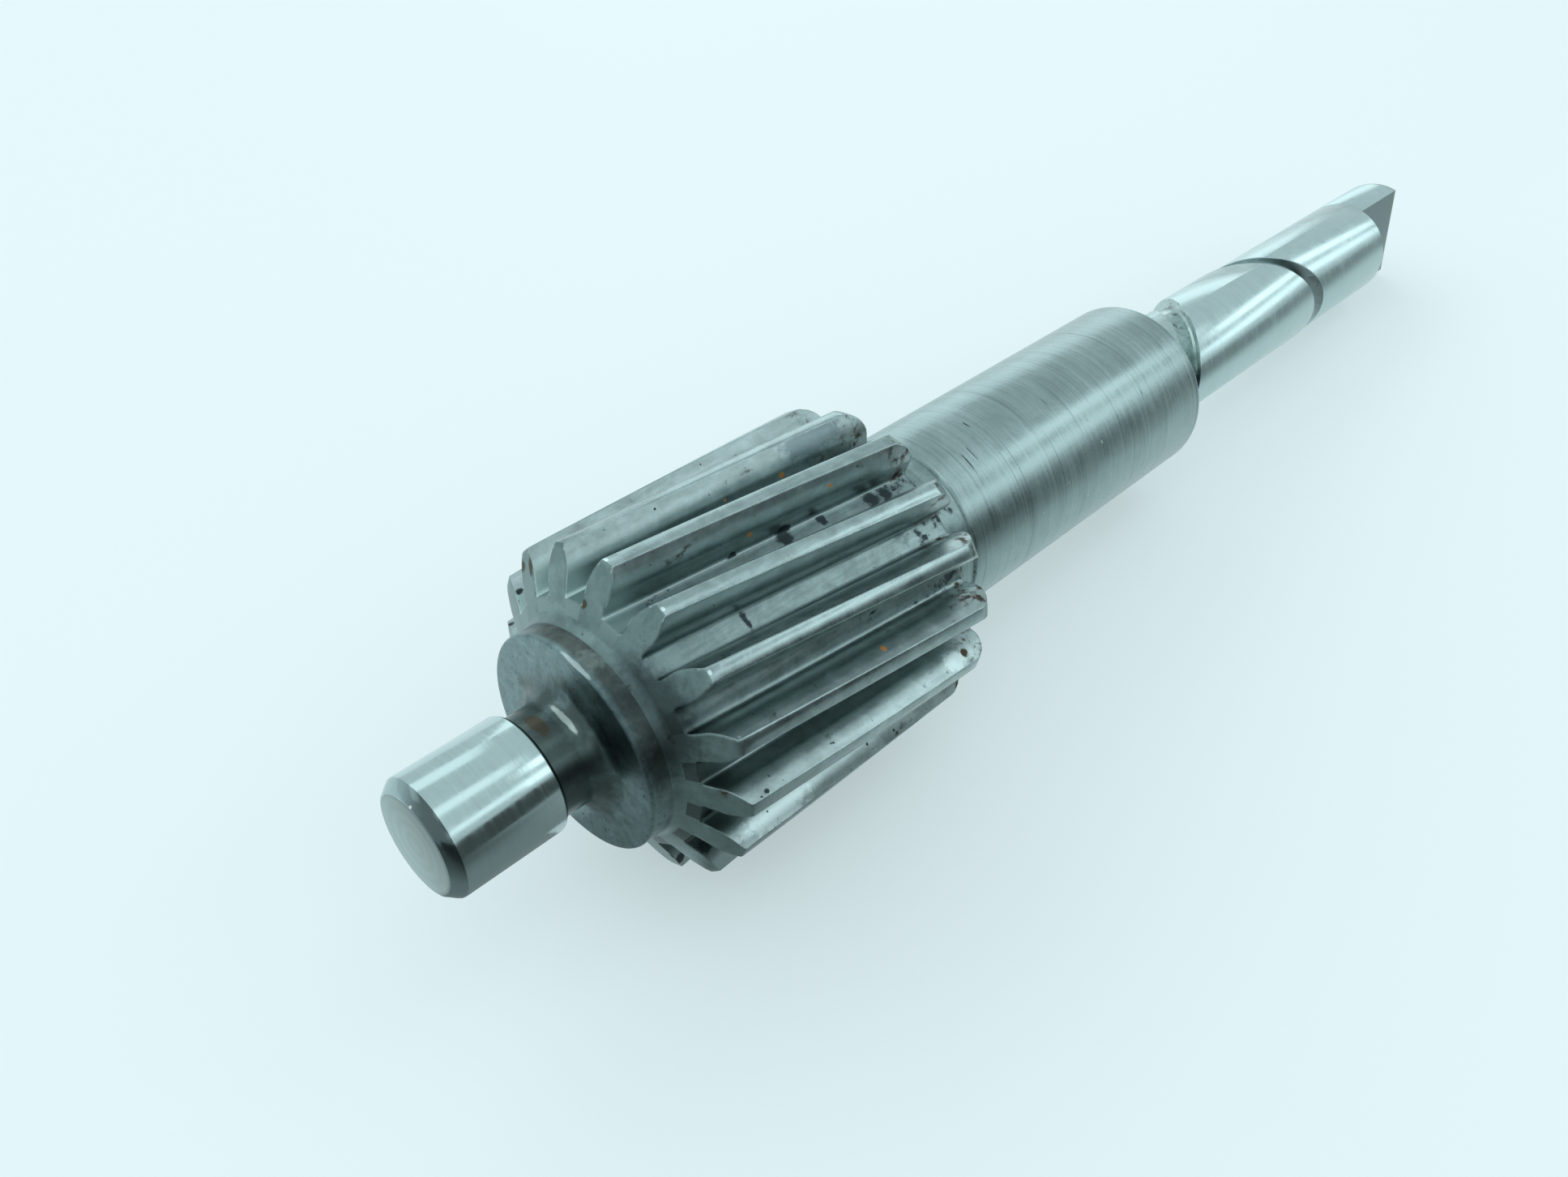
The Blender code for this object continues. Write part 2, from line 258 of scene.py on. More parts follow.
# Steel. One shaft carries several surfaces, ground, turned or hobbed, and all of them oiled, stained and
# worn by use. Their patterns follow the shaft's own coordinates in mm, kept in the attribute "shaft".
# A clock is in degrees round the shaft: 0 is up and 90 is the near side. Some patterns are painted
# shade and painted light that change with the clock, and a few are painted glints.
class Steel(Nodes):
    """A steel surface whose colour, roughness and relief are built up step by step."""

    def __init__(self, name, colour, rough, edge):
        self.material = bpy.data.materials.new(name)
        super().__init__(self.material)
        self.shaft = self.node("ShaderNodeAttribute", attribute_name="shaft").outputs["Vector"]
        parts = self.node("ShaderNodeSeparateXYZ", {0: self.shaft}).outputs
        self.along = parts[0]
        self.sides = parts[1], parts[2]
        self.radius = self.math("SQRT", self.math("ADD", self.math("MULTIPLY", parts[1], parts[1]),
                                                  self.math("MULTIPLY", parts[2], parts[2])))
        self.colour = self.rgb(colour)
        self.rough = rough
        self.relief = None
        if edge:
            self.relief = self.node("ShaderNodeBevel", {"Radius": edge * MM}, samples=6).outputs[0]

    def towards(self, clock):
        """How far a point lies from the axis towards this clock, in mm."""
        angle = math.radians(clock)
        return self.math("ADD", self.math("MULTIPLY", self.sides[0], -math.sin(angle)),
                         self.math("MULTIPLY", self.sides[1], math.cos(angle)))

    def rgb(self, colour):
        made = self.node("ShaderNodeRGB").outputs[0]
        made.default_value = (*colour, 1.0)
        return made

    def stretched(self, scale, shift):
        """Shaft coordinates times this scale, so that a noise runs along or round the shaft."""
        scaled = self.node("ShaderNodeVectorMath", {0: self.shaft, 1: scale}, operation="MULTIPLY")
        moved = self.node("ShaderNodeVectorMath", {0: scaled.outputs[0], 1: (shift, shift, shift)},
                          operation="ADD")
        return moved.outputs[0]

    def grain(self, scale, shift, detail=4.0, rough=0.6, bend=0.0):
        """Noise spread over -1 to 1."""
        fac = self.noise(self.stretched(scale, shift), detail, rough, bend)
        return self.math("MULTIPLY", self.math("SUBTRACT", fac, 0.5), 4.0)

    def shade(self, pattern, amount):
        """Lighten and darken the colour by the pattern."""
        factor = self.math("MAXIMUM", self.math("ADD", self.math("MULTIPLY", pattern, amount), 1.0), 0.08)
        made = self.node("ShaderNodeVectorMath", {0: self.colour}, operation="SCALE")
        self.join(factor, made.inputs["Scale"])
        self.colour = made.outputs[0]

    def stain(self, mask, colour, rough=None):
        """Lay this colour, and this roughness if any, over the surface where the mask is 1."""
        self.colour = self.mix(mask, self.colour, self.rgb(colour))
        if rough is not None:
            self.rough = self.between(mask, self.rough, rough)

    def between(self, mask, first, second):
        made = self.node("ShaderNodeMix", data_type="FLOAT")
        self.join(mask, made.inputs[0])
        self.join(first, made.inputs[2])
        self.join(second, made.inputs[3])
        return made.outputs[0]

    def patches(self, scale, low, high, shift=0.0, detail=5.0, rough=0.65):
        """Mask that is 1 where a noise is above high and 0 where it is below low."""
        return self.ramp(self.noise(self.stretched(scale, shift), detail, rough), low, high)

    def spot(self, x, clock, radius, size, ragged=0.7):
        """Mask of one mark at this place on the shaft, of this size along, round and outward."""
        angle = math.radians(clock)
        centre = (x, -radius * math.sin(angle), radius * math.cos(angle))
        offset = self.node("ShaderNodeVectorMath", {0: self.shaft, 1: centre},
                           operation="SUBTRACT").outputs[0]
        turned = self.node("ShaderNodeVectorRotate", {"Vector": offset, "Angle": -angle},
                           rotation_type="X_AXIS").outputs[0]
        scaled = self.node("ShaderNodeVectorMath", {0: turned, 1: tuple(1 / v for v in size)},
                           operation="MULTIPLY").outputs[0]
        reach = self.node("ShaderNodeVectorMath", {0: scaled}, operation="LENGTH").outputs["Value"]
        wild = self.noise(self.stretched((2.2, 2.2, 2.2), x), 5.0, 0.7)
        reach = self.math("ADD", reach, self.math("MULTIPLY", self.math("SUBTRACT", wild, 0.5), 2 * ragged))
        return self.ramp(reach, 1.1, 0.6)

    def add_relief(self, height, depth):
        """Bump of this depth in mm, on top of the relief so far."""
        bump = self.node("ShaderNodeBump", {"Height": height, "Distance": depth * MM, "Strength": 1.0})
        if self.relief is not None:
            self.join(self.relief, bump.inputs["Normal"])
        self.relief = bump.outputs[0]

    def finish(self):
        """Join colour, roughness and relief to the shader and return the material."""
        self.join(self.colour, self.shader.inputs["Base Color"])
        self.join(self.rough, self.shader.inputs["Roughness"])
        self.shader.inputs["Metallic"].default_value = 1.0
        if self.relief is not None:
            self.join(self.relief, self.shader.inputs["Normal"])
        return self.material


# Near-black for old oil, and also for painted shade in the gap mouths.
BLACK_OIL_AND_SHADE = (0.018, 0.026, 0.030)
# A dark patch painted over the near side: its place (x, clock, radius), its size and its raggedness.
NEAR_DARK_PLACE = (9.5, 50, 6.0)
NEAR_DARK_SIZE = (2.5, 3.6, 3.0)
NEAR_DARK_RAGGED = 0.35
LINE_ROUGH = 0.08
FILM_ROUGH = 0.06


def turned_lines(metal, dark, depth, pitch=0.33, broken=0.3):
    """Fine rings left by the turning tool or the grinding wheel, some of them broken."""
    rings = metal.grain((1 / pitch, 0.05, 0.05), 3.0, 3.0, 0.85)
    short = metal.grain((2.4 / pitch, 0.30, 0.30), 8.0, 3.0, 0.75)
    both = metal.math("ADD", metal.math("MULTIPLY", rings, 1.0 - broken),
                      metal.math("MULTIPLY", short, broken))
    metal.shade(both, dark)
    metal.rough = metal.math("ADD", metal.rough, metal.math("MULTIPLY", both, LINE_ROUGH))
    metal.add_relief(both, depth)


def mottled(metal, amount, size=1.0, detail=7.0):
    """Uneven film of oil and wear."""
    patch = metal.grain((size, size, size), 1.0, detail, 0.72, 0.4)
    metal.shade(patch, amount)
    metal.rough = metal.math("ADD", metal.rough, metal.math("MULTIPLY", patch, FILM_ROUGH))


def speckled(metal, low, high, size, colour=BLACK_OIL_AND_SHADE):
    """Small flecks of old oil."""
    metal.stain(metal.patches((size, size, size), low, high, 5.0, 3.0, 0.6), colour, 0.5)


def darken_near_side(metal, amount):
    """A dark patch painted over the near side, from the neck over the hub's rim to the tooth fronts."""
    near_dark = metal.spot(*NEAR_DARK_PLACE, NEAR_DARK_SIZE, NEAR_DARK_RAGGED)
    metal.stain(metal.math("MULTIPLY", near_dark, amount), BLACK_OIL_AND_SHADE, 0.32)


def marked(metal, marks, colour, rough=0.5, ragged=0.7):
    """Single marks, each (x, clock, radius, size along, round and outward)."""
    for x, clock, radius, size in marks:
        metal.stain(metal.spot(x, clock, radius, size, ragged), colour, rough)


finishes = {}


def surface(finish, name, colour, rough, edge=0.0):
    """Start a surface. An edge in mm rounds the sharp edges that the light catches."""
    made = Steel(name, colour, rough, edge)
    finishes[finish] = made
    return made


# Pilot. It is a ground steel pin with a broad chamfer, which runs in a bearing. It is bright all over,
# with fine grinding lines, and its end face has shallow rings from the turning tool.
PILOT_RADIUS = 3.10
PILOT_LENGTH = 6.04
CHAMFER_LENGTH = 0.56
CHAMFER_DEPTH = 0.46
PILOT_REAR_EDGE = 0.20
SMALL_EDGE = 0.07
FACE_MIDDLE = 0.35
face_radius = PILOT_RADIUS - CHAMFER_DEPTH
station(0, face_radius - FACE_MIDDLE, END_FACE)
station(0, face_radius - SMALL_EDGE, CHAMFER)
station(0.4 * SMALL_EDGE, face_radius + 0.2 * SMALL_EDGE, CHAMFER)
station(0.8 * CHAMFER_LENGTH, face_radius + 0.8 * CHAMFER_DEPTH, CHAMFER)
station(CHAMFER_LENGTH, PILOT_RADIUS - 0.25 * SMALL_EDGE, GROUND)
station(CHAMFER_LENGTH + 2 * SMALL_EDGE, PILOT_RADIUS, GROUND)
station(PILOT_LENGTH - PILOT_REAR_EDGE, PILOT_RADIUS, GROUND)
station(PILOT_LENGTH - 0.7 * PILOT_REAR_EDGE, PILOT_RADIUS - 0.1 * PILOT_REAR_EDGE, NECK)
station(PILOT_LENGTH, PILOT_RADIUS - 0.75 * PILOT_REAR_EDGE, NECK)

PALE = (0.80, 0.92, 0.92)
GROUND_STEEL = (0.54, 0.655, 0.65)
GROUND_ROUGH = 0.16
TAIL_ROUGH = 0.23
FACE_RING_RATE = 9.0
CHAMFER_PAINTED_GLINT = ((0.05, 5.9, 2.67, (0.08, 0.09, 0.09)),)
face = surface(END_FACE, "pilot_face", (0.36, 0.45, 0.435), 0.30)
face_rings = face.math("SINE", face.math("MULTIPLY", face.radius, FACE_RING_RATE))
face.shade(face_rings, 0.05)
# The end face is painted darker towards the near side.
face.shade(face.ramp(face.towards(50), -2.6, 2.2), -0.42)
face.shade(face.ramp(face.towards(40), 0.8, 2.5), -0.22)
mottled(face, 0.10)

chamfer = surface(CHAMFER, "pilot_chamfer", (0.38, 0.48, 0.48), 0.17)
# Painted shade: the chamfer is painted dark towards the near side.
chamfer.shade(chamfer.ramp(chamfer.towards(42), 1.5, 2.7), -0.66)
mottled(chamfer, 0.10)
# Painted highlight: a pale glint on the chamfer's edge.
marked(chamfer, CHAMFER_PAINTED_GLINT, PALE, 0.4, 0.1)

ground = surface(GROUND, "ground_steel", GROUND_STEEL, GROUND_ROUGH)
ground.rough = ground.ramp(ground.along, 54.0, 60.0, GROUND_ROUGH, TAIL_ROUGH)
turned_lines(ground, 0.05, 0.0010)
mottled(ground, 0.06, 0.6)


# Neck and hub. The neck is where the grinding wheel ran out, and a fillet leads up to the hub, a turned
# disc with a flat thrust face and a rounded edge. Old oil and brown film cover both. Both are also
# painted darker towards the axis and on the near side and lighter underneath, with a painted highlight
# on the fillet and on the rim.
NECK_RADIUS = 2.70
NECK_LENGTH = 2.56
NECK_FILLET = 1.10
NECK_CORNER = 0.05
FILLET_STEP = 0.10
HUB_RADIUS = 5.80
HUB_LENGTH = 2.04
HUB_EDGE = 0.15
hub_face = PILOT_LENGTH + NECK_LENGTH
station(PILOT_LENGTH, NECK_RADIUS + NECK_CORNER, NECK)
station(PILOT_LENGTH + NECK_CORNER, NECK_RADIUS, NECK)
round_off(hub_face - NECK_FILLET, NECK_RADIUS + NECK_FILLET, NECK_FILLET, -90, 0, 8, NECK)
station(hub_face, NECK_RADIUS + NECK_FILLET + FILLET_STEP, HUB)
round_off(hub_face + HUB_EDGE, HUB_RADIUS - HUB_EDGE, HUB_EDGE, 180, 90, 8, HUB)

HUB_STEEL = (0.19, 0.265, 0.27)
HUB_FLECKS = (0.05, 0.07, 0.08)
HUB_SIDE_DARK = (0.100, 0.120, 0.112)
SIDE_HIGHLIGHT = (0.24, 0.29, 0.275)
AXIS_DARKENING = (0.056, 0.070, 0.063)
NECK_BROWN = (0.078, 0.072, 0.054)
NECK_STAIN = ((6.80, 2.0, 2.70, (0.42, 0.9, 0.6)),)
NECK_HIGHLIGHT_COLOUR = (0.42, 0.48, 0.45)
NECK_PAINTED_HIGHLIGHT = ((7.92, 14.0, 2.78, (0.15, 1.2, 0.45)),)
RIM_HIGHLIGHT_COLOUR = (0.50, 0.58, 0.58)
RIM_PAINTED_HIGHLIGHT = ((8.64, 9.0, 5.76, (0.15, 1.5, 0.15)),)
neck = surface(NECK, "neck_oil_and_painted_light", HUB_STEEL, 0.30)
hub = surface(HUB, "hub_steel", HUB_STEEL, 0.36, edge=HUB_EDGE)
speckled(hub, 0.62, 0.74, 4.5, HUB_FLECKS)
# The hub's side is painted darker on its upper near half.
hub_side = hub.math("MULTIPLY", hub.ramp(hub.along, 8.72, 9.05), hub.ramp(hub.towards(22), 0.5, 4.6))
hub.stain(hub_side, HUB_SIDE_DARK, 0.32)
# Painted highlights: soft lighter patches on the hub's side.
side_highlights = hub.patches((0.55, 0.55, 0.55), 0.46, 0.72, 24.0, 3.0)
hub.stain(hub.math("MULTIPLY", hub_side, side_highlights), SIDE_HIGHLIGHT)
for metal in (neck, hub):
    mottled(metal, 0.36, 1.4, 4.0)
    # Both are painted darker towards the axis, over the neck and the inner part of the hub face.
    ragged = metal.math("ADD", metal.radius, metal.grain((0.9, 0.9, 0.9), 9.0))
    metal.stain(metal.math("MULTIPLY", metal.ramp(ragged, 4.6, 2.7), 0.78), AXIS_DARKENING, 0.28)
    # Painted light: both are painted lighter towards the lower near side.
    metal.shade(metal.ramp(metal.towards(128), 0.8, 3.0), 0.35)
    darken_near_side(metal, 0.58)
marked(neck, NECK_STAIN, NECK_BROWN, 0.28, 0.6)
# Painted highlight: a pale arc on the fillet.
marked(neck, NECK_PAINTED_HIGHLIGHT, NECK_HIGHLIGHT_COLOUR, 0.3, 0.45)
# Painted highlight: a thin pale line along the hub's rim.
marked(hub, RIM_PAINTED_HIGHLIGHT, RIM_HIGHLIGHT_COLOUR, 0.26, 0.5)


# Teeth. They are 16 right-hand helical teeth of module 1, hobbed out of the blank with a 14.5 degree
# cutter, so a station's ring follows the tooth's section wherever that lies inside the blank. Their
# fronts are coned above a cove, and oil, a blue film and specks of rust have stayed in the gaps. The
# gap mouths are painted dark on the lower near side and light on the upper far side, and the corners
# of the lands carry painted glints.
HUB_COVE = 0.60
TOOTH_COUNT = 16
MODULE = 1.0
PRESSURE_ANGLE = math.radians(14.5)
HELIX_ANGLE = math.radians(6.1)
ADDENDUM = 1.05
DEDENDUM = 1.25
BACKLASH = 0.05
ROOT_FILLET = 0.22
ROOT_STEPS = 4
ROOT_STEP_ANGLE = 30
LAND_LENGTH = 16.64
FRONT_TAPER = 1.02
FRONT_EDGE = 0.15
FRONT_EDGE_DEPTH = 0.10
REAR_ROUND = 1.30
LAND_EDGE = 0.07
FLANK_STEPS = 6
LAND_STATIONS = 22
pitch_radius = TOOTH_COUNT * MODULE / (2 * math.cos(HELIX_ANGLE))
tip_radius = pitch_radius + ADDENDUM
root_radius = pitch_radius - DEDENDUM
tooth_step = 2 * math.pi / TOOTH_COUNT
transverse_angle = math.atan(math.tan(PRESSURE_ANGLE) / math.cos(HELIX_ANGLE))
base_radius = pitch_radius * math.cos(transverse_angle)
turn_per_mm = math.tan(HELIX_ANGLE) / pitch_radius
gap_start = hub_face + HUB_LENGTH
land_start = gap_start + FRONT_TAPER
land_end = land_start + LAND_LENGTH
teeth_end = land_end + REAR_ROUND


def involute(angle):
    return math.tan(angle) - angle


def gap_half_angle(radius):
    """Half the angle that a tooth gap spans at this radius."""
    roll = math.acos(min(1.0, base_radius / radius))
    wide = tooth_step / 4 + BACKLASH / (2 * pitch_radius)
    return wide - involute(transverse_angle) + involute(roll)


def tooth_side():
    """The section from the middle of a gap's floor to the middle of a land: (angle, radius, finish)."""
    foot = gap_half_angle(base_radius)
    centre = root_radius + ROOT_FILLET
    centre_angle = foot - math.asin(ROOT_FILLET / centre)
    side = [(0.0, root_radius, FLOOR), (centre_angle * 0.5, root_radius, FLOOR)]
    for step in range(ROOT_STEPS):
        turn = math.radians(180 - ROOT_STEP_ANGLE * step) + centre_angle
        along = centre * math.cos(centre_angle) + ROOT_FILLET * math.cos(turn)
        across = centre * math.sin(centre_angle) + ROOT_FILLET * math.sin(turn)
        side.append((math.atan2(across, along), math.hypot(along, across), FLOOR if step < 1 else FLANK))
    side.append((foot, (side[-1][1] + base_radius) / 2, FLANK))
    top = tip_radius - LAND_EDGE
    for step in range(FLANK_STEPS + 1):
        radius = base_radius + (top - base_radius) * step / FLANK_STEPS
        side.append((gap_half_angle(radius), radius, FLANK if step < FLANK_STEPS else LAND))
    edge = LAND_EDGE / tip_radius
    side.append((gap_half_angle(top) + 0.3 * edge, tip_radius - 0.3 * LAND_EDGE, LAND))
    side.append((gap_half_angle(top) + edge, tip_radius, LAND))
    side.append((tooth_step / 2, tip_radius, LAND))
    return side


side = tooth_side()
section = side + [(tooth_step - angle, radius, None) for angle, radius, finish in reversed(side[:-1])]
column_finish = [finish for angle, radius, finish in side[:-1]]
column_finish += column_finish[::-1]
side_radii = sorted({round(radius, 4) for angle, radius, finish in side})
cone_rise = (tip_radius - root_radius) / FRONT_TAPER
cone_angle = math.degrees(math.atan(cone_rise))
cove_r = HUB_RADIUS + HUB_COVE
cove_x = gap_start + (cove_r - root_radius) / cone_rise - HUB_COVE / math.sin(math.radians(cone_angle))
round_off(cove_x, cove_r, HUB_COVE, -90, cone_angle - 90, 8, FRONT)
for radius in side_radii:
    edge = max(0.0, (radius - tip_radius + FRONT_EDGE) / FRONT_EDGE)
    station(gap_start + (radius - root_radius) / cone_rise + FRONT_EDGE_DEPTH * edge ** 2, radius, FRONT)
land_straight = LAND_LENGTH - FRONT_EDGE_DEPTH
for step in range(1, LAND_STATIONS):
    station(land_start + FRONT_EDGE_DEPTH + land_straight * step / (LAND_STATIONS - 1), tip_radius, LAND)
corner_r = tip_radius - REAR_ROUND
for radius in reversed(side_radii[:-1]):
    rise = max(0.0, radius - corner_r)
    station(land_end + math.sqrt(REAR_ROUND ** 2 - rise ** 2), radius, REAR)

# Dull dark grey for oil and dirt, and also for painted shade in the gap mouths.
DULL_OIL_AND_SHADE = (0.045, 0.060, 0.066)
BROWN_OIL = (0.075, 0.060, 0.042)
BLUE_FILM = (0.10, 0.155, 0.19)
RUST = (0.80, 0.36, 0.11)
GAP_MOUTH = (0.25, 0.325, 0.32)
FRONT_BROWN = (0.095, 0.085, 0.063)
FRONT_STAINS = ((10.70, -7.3, 6.94, (0.25, 0.28, 0.25)), (11.30, -43.2, 8.20, (0.4, 0.25, 0.5)),
                (11.37, -50.1, 8.45, (0.30, 0.4, 0.3)), (11.36, -63.5, 7.94, (0.25, 0.15, 0.15)))
FRONT_HOLE_SHADE = ((11.42, 150.6, 8.09, (0.4, 0.25, 0.4)), (11.46, 127.7, 7.65, (0.4, 0.3, 0.4)))
front = surface(FRONT, "tooth_front", (0.205, 0.275, 0.27), 0.36, edge=0.22)
mottled(front, 0.36, 0.8)
front.stain(front.patches((0.8, 0.8, 0.8), 0.60, 0.74, 2.0), BROWN_OIL, 0.42)
# Painted light: the tooth fronts are painted lighter towards the near side, a little below.
front.shade(front.ramp(front.towards(96), 3.5, 7.0), 0.35)
darken_near_side(front, 0.60)
marked(front, FRONT_STAINS, FRONT_BROWN, 0.5)
# Painted shade: two black spots in the lower gap mouths stand for the shade inside them.
marked(front, FRONT_HOLE_SHADE, BLACK_OIL_AND_SHADE)

LAND_PAINTED_GLINTS = ((11.82, 21.3, 9.08, (0.12, 0.14, 0.12)), (11.80, -2.9, 9.09, (0.12, 0.20, 0.12)),
              (11.86, 63.3, 8.95, (0.12, 0.12, 0.12)), (11.84, 43.0, 9.08, (0.12, 0.14, 0.12)))
land = surface(LAND, "tooth_land", (0.37, 0.455, 0.45), 0.25, edge=0.12)
mottled(land, 0.24, 0.8, 3.0)
land.shade(land.grain((0.35, 5.0, 5.0), 4.0), 0.12)
# Painted highlights: pale glints at the front corners of the lands.
marked(land, LAND_PAINTED_GLINTS, PALE, 0.3, 0.1)

MOUTH_PAINTED_LIGHT = (0.56, 0.69, 0.67)
REAR_STAINS = ((27.95, 96.5, 8.46, (0.30, 0.25, 0.3)), (27.3, 99.0, 8.30, (0.18, 0.14, 0.18)),
               (27.6, 94.0, 8.60, (0.22, 0.14, 0.18)), (28.3, 98.0, 8.30, (0.22, 0.2, 0.2)))
RUST_SPECKS = ((21.60, 69.2, 8.46, (0.22, 0.17, 0.22)), (23.78, -8.9, 7.60, (0.22, 0.16, 0.22)),
               (19.02, 10.0, 7.72, (0.20, 0.14, 0.2)), (24.06, 12.4, 8.46, (0.14, 0.11, 0.14)),
               (20.20, -11.6, 7.71, (0.11, 0.09, 0.11)))
FLANK_PITS = ((16.50, -16.7, 8.75, (0.09, 0.07, 0.09)), (23.29, 116.3, 8.71, (0.11, 0.09, 0.11)),
              (21.23, 114.0, 8.47, (0.10, 0.08, 0.10)))
FLANK_OIL_AND_HOLE_SHADE = ((11.55, 151.6, 8.40, (0.40, 0.26, 0.45)), (11.45, 127.6, 7.65, (0.40, 0.30, 0.45)),
             (21.21, 11.9, 6.95, (0.55, 0.40, 0.4)), (17.99, 10.0, 6.85, (0.35, 0.30, 0.3)),
             (11.42, -63.5, 7.95, (0.25, 0.16, 0.22)), (11.55, -87.4, 8.59, (0.20, 0.15, 0.2)),
             (12.72, 86.4, 8.89, (0.22, 0.12, 0.15)))
FLANK_PAINTED_GLINTS = ((11.86, 63.3, 8.95, (0.10, 0.10, 0.12)), (11.82, 21.3, 9.08, (0.10, 0.12, 0.12)))
flank = surface(FLANK, "tooth_flank", (0.40, 0.48, 0.475), 0.32, edge=0.12)
mottled(flank, 0.26, 0.7, 4.0)
flank.shade(flank.grain((0.4, 3.0, 3.0), 6.0), 0.13)
# Painted shade: the flanks are painted darker towards the roots.
flank.shade(flank.ramp(flank.radius, 8.2, 7.0), -0.10)
mouth = flank.math("MULTIPLY", flank.ramp(flank.along, 13.0, 11.4), flank.ramp(flank.radius, 8.6, 7.4))
flank.stain(mouth, GAP_MOUTH, 0.40)
# Painted light: the flanks in the gap mouths are painted lighter on the upper far side.
flank.stain(flank.math("MULTIPLY", mouth, flank.ramp(flank.towards(-35), 3.0, 6.5)), MOUTH_PAINTED_LIGHT, 0.50)
# Painted shade: the flanks in the gap mouths are painted darker on the lower near side.
flank.shade(flank.math("MULTIPLY", mouth, flank.ramp(flank.towards(112), 2.0, 6.0)), -0.50)
flank.stain(flank.patches((0.45, 0.8, 0.8), 0.62, 0.74, 12.0), BROWN_OIL, 0.42)
flank.stain(flank.math("MULTIPLY", flank.ramp(flank.along, 26.4, 29.0),
                       flank.patches((1.3, 1.3, 1.3), 0.48, 0.64, 7.0)), BROWN_OIL, 0.5)
darken_near_side(flank, 0.72)
blue_patch = flank.math("MULTIPLY", flank.spot(26.08, -9.3, 8.73, (2.2, 0.9, 1.2), 1.1), 0.50)
flank.stain(blue_patch, BLUE_FILM, 0.4)
flank.stain(flank.math("MULTIPLY", flank.spot(14.6, 108.0, 8.30, (2.6, 1.2, 1.2), 1.0), 0.6), PALE, 0.4)
flank.stain(flank.math("MULTIPLY", flank.spot(27.12, 96.2, 8.57, (0.9, 0.6, 0.7), 1.0), 0.6), PALE, 0.45)
marked(flank, REAR_STAINS, BROWN_OIL)
marked(flank, RUST_SPECKS, RUST, 0.6, 0.8)
marked(flank, FLANK_PITS, DULL_OIL_AND_SHADE)
# Dark oil marks on the flanks; the first two, at the front of the lower near side, are painted shade in the
# gap mouths.
marked(flank, FLANK_OIL_AND_HOLE_SHADE, DULL_OIL_AND_SHADE, 0.5, 0.9)
# Painted highlights: pale glints at the corners where the flanks meet the lands.
marked(flank, FLANK_PAINTED_GLINTS, PALE, 0.3, 0.1)
speckled(flank, 0.69, 0.75, 2.5, DULL_OIL_AND_SHADE)

FLOOR_OIL_AND_HOLE_SHADE = ((16.24, 35.1, 6.79, (0.20, 0.60, 0.4)), (21.06, 13.9, 6.79, (0.45, 0.65, 0.5)),
             (23.46, 16.1, 6.79, (0.30, 0.45, 0.4)), (26.72, 20.1, 6.79, (0.50, 0.60, 0.5)),
             (27.62, 21.6, 6.79, (0.40, 0.50, 0.5)), (11.20, 104.0, 6.80, (0.35, 0.35, 0.4)))
floor = surface(FLOOR, "gap_floor", (0.26, 0.33, 0.325), 0.34, edge=0.22)
mottled(floor, 0.32, 0.9, 5.0)
floor.shade(floor.grain((0.5, 5.0, 5.0), 7.0), 0.20)
floor.stain(floor.patches((0.8, 1.6, 1.6), 0.62, 0.70, 3.0), DULL_OIL_AND_SHADE, 0.45)
floor.stain(floor.math("MULTIPLY", floor.ramp(floor.along, 25.0, 28.0),
                       floor.patches((1.5, 1.5, 1.5), 0.50, 0.66, 5.0)), DULL_OIL_AND_SHADE, 0.45)
# Painted shade: the gap floors are painted darker towards the top.
floor.shade(floor.ramp(floor.towards(0), 4.5, 6.6), -0.20)
floor.stain(floor.ramp(floor.along, 13.2, 11.4), GAP_MOUTH, 0.40)
# Painted shade: the gap floors at the front are painted darker on the lower near side.
floor_mouth = floor.ramp(floor.along, 13.5, 11.6)
floor.shade(floor.math("MULTIPLY", floor_mouth, floor.ramp(floor.towards(112), 2.0, 6.0)), -0.50)
darken_near_side(floor, 0.72)
# Dark oil smudges on the floors; the last, at the front of the near side, is painted shade in a gap mouth.
marked(floor, FLOOR_OIL_AND_HOLE_SHADE, DULL_OIL_AND_SHADE, 0.5, 1.1)

rear = surface(REAR, "tooth_rear", (0.26, 0.33, 0.32), 0.38)
mottled(rear, 0.5, 1.3)
rear.stain(rear.patches((1.2, 1.2, 1.2), 0.52, 0.66, 4.0), BROWN_OIL, 0.45)
speckled(rear, 0.60, 0.66, 2.8)


# Relief groove and journal. The groove is where the hob and the turning tool ran out. The journal behind
# it is the plain bearing length, turned in fine dull rings, with a square rear rim.
RELIEF_RADIUS = 5.45
RELIEF_LENGTH = 2.90
RELIEF_COVE = 0.90
JOURNAL_RADIUS = 5.61
JOURNAL_LENGTH = 23.30
JOURNAL_EDGE = 0.20
round_off(teeth_end + RELIEF_COVE, RELIEF_RADIUS + RELIEF_COVE, RELIEF_COVE, 180, 270, 8, RELIEF)
journal_start = teeth_end + RELIEF_LENGTH
journal_end = journal_start + JOURNAL_LENGTH
relief_step = JOURNAL_RADIUS - RELIEF_RADIUS
station(journal_start - relief_step, RELIEF_RADIUS, RELIEF)
station(journal_start - 0.3 * relief_step, JOURNAL_RADIUS - 0.2 * relief_step, JOURNAL)
station(journal_start + 0.5 * relief_step, JOURNAL_RADIUS, JOURNAL)
round_off(journal_end - JOURNAL_EDGE, JOURNAL_RADIUS - JOURNAL_EDGE, JOURNAL_EDGE, 90, 0, 5, JOURNAL)

